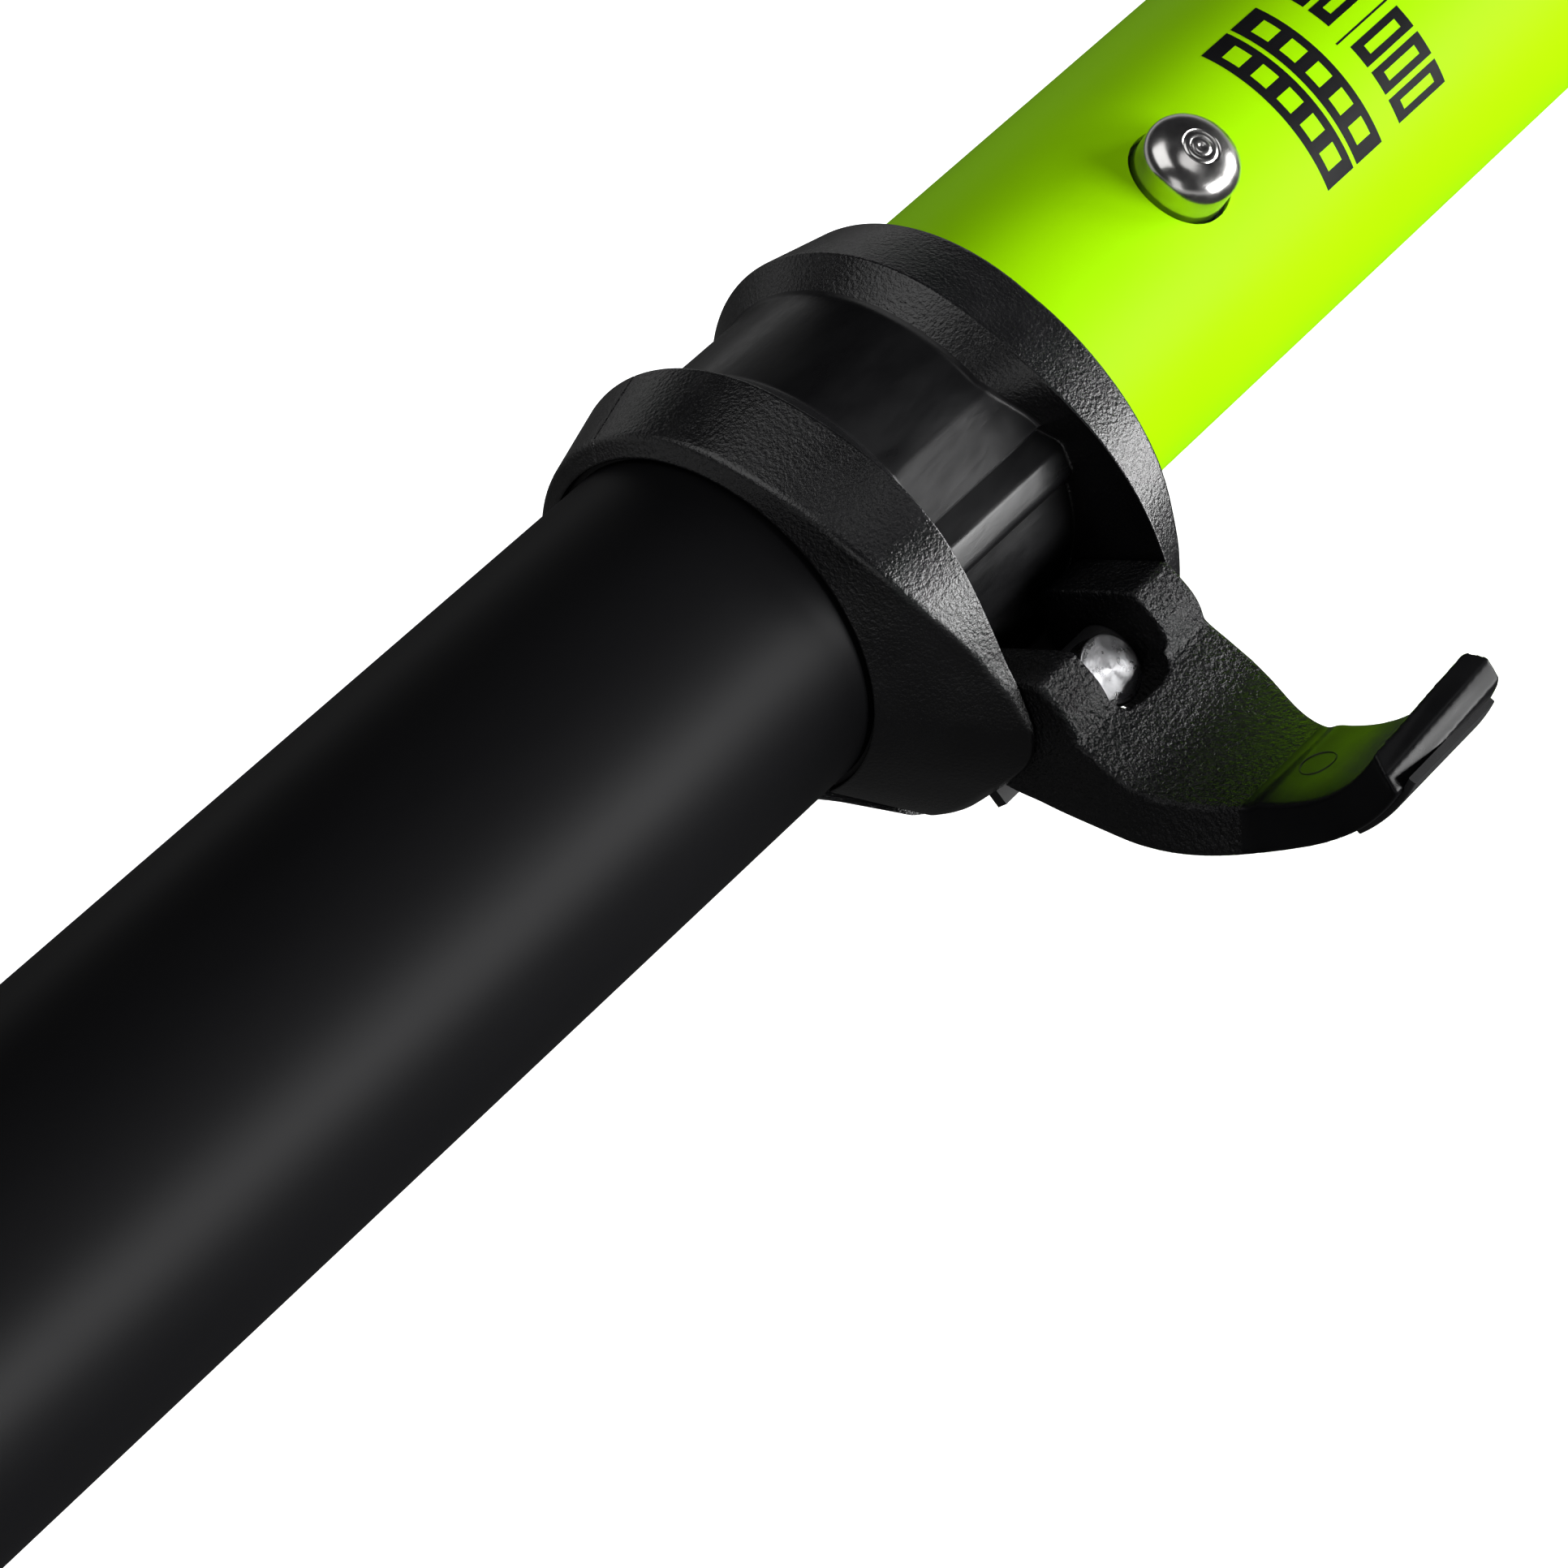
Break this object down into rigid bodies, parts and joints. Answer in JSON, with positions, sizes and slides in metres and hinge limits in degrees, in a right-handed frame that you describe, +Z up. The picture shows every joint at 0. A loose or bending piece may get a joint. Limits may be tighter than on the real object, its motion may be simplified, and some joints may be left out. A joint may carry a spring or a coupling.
{
  "type": "two-piece kayak paddle",
  "caption": "Two-piece kayak paddle: black and lime shaft halves joined by a lever-lock telescoping ferrule with a snap button, spooned blades and drip rings.",
  "frame": {"origin": "on the ground under the middle of the clamp, halfway along the paddle", "axes": "+X along the shaft from the black half to the green half, +Z up with the blades' power faces down, +Y completes a right-handed frame; the lever hangs open on the -Y side"},
  "size_m": [2.2998, 0.182, 0.0712],
  "materials": {
    "shaft_black": "satin black powder coat on aluminium tube",
    "shaft_green": "semi-gloss lime green coat on aluminium tube",
    "clamp_nylon": "glass-filled nylon, fine moulded grain",
    "lever_nylon": "glass-filled nylon, coarse grain with small glints",
    "liner_nylon": "smooth moulded nylon",
    "pad_rubber": "thin thumb pad, satin",
    "pin_steel": "turned stainless steel",
    "bolt_bright": "end face turned bright, fine concentric marks",
    "button_steel": "polished stainless steel",
    "insert_alloy": "drawn tube, satin",
    "bushing_acetal": "machined acetal",
    "seal_rubber": "soft black rubber",
    "foam": "closed-cell foam",
    "clip_steel": "spring steel leaf",
    "blade_nylon": "fibre-filled nylon with faint flow marks"
  },
  "bodies": {
    "black_half": {"shaft_black": "shaft_black", "blade_black": "blade_nylon", "blade_rivets_black": "pin_steel", "foam_plug_black": "foam", "clamp_collar": "clamp_nylon", "clamp_liner": "liner_nylon", "cam_saddle": "clip_steel", "barrel_pin": "pin_steel", "tension_bolt": "bolt_bright", "bolt_washer": "pin_steel"},
    "tension_nut": {"adjust_nut": "pin_steel"},
    "lever_arm": {"lever": "lever_nylon", "lever_pad": "pad_rubber"},
    "guide": {"guide_bushing": "bushing_acetal", "o_ring": "seal_rubber"},
    "green_half": {"shaft_green": "shaft_green", "ferrule_insert": "insert_alloy", "insert_end_plug": "liner_nylon", "spring_clip": "clip_steel", "foam_plug_green": "foam", "blade_green": "blade_nylon", "blade_rivets_green": "pin_steel"},
    "button": {"snap_button": "button_steel"},
    "black_drip_ring": {"drip_ring_black": "seal_rubber"},
    "green_drip_ring": {"drip_ring_green": "seal_rubber"}
  },
  "joints": [
    {"name": "lever_swing", "type": "hinge", "parent": "black_half", "child": "lever_arm", "pos_m": [0, -0.02297, 0.03721], "axis": [1, 0, 0], "range_deg": [-110, 0]},
    {"name": "tension_turn", "type": "hinge", "parent": "black_half", "child": "tension_nut", "pos_m": [0, -0.02297, 0.03721], "axis": [0, -0.6743, 0.7385], "continuous": true},
    {"name": "length_slide", "type": "slide", "parent": "black_half", "child": "guide", "axis": [1, 0, 0], "range_m": [0, 0.15]},
    {"name": "feather_turn", "type": "hinge", "parent": "guide", "child": "green_half", "pos_m": [0, 0, 0.04223], "axis": [1, 0, 0], "continuous": true},
    {"name": "button_press", "type": "slide", "parent": "green_half", "child": "button", "axis": [0, 0.4321, -0.9018], "range_m": [0, 0.004], "stiffness_N_per_m": 1500, "springref_m": -0.001, "deforming": ["spring_clip"]},
    {"name": "black_drip_slide", "type": "slide", "parent": "black_half", "child": "black_drip_ring", "axis": [1, 0, 0], "range_m": [-0.055, 0.3]},
    {"name": "green_drip_slide", "type": "slide", "parent": "green_half", "child": "green_drip_ring", "axis": [-1, 0, 0], "range_m": [-0.055, 0.3]}
  ]
}
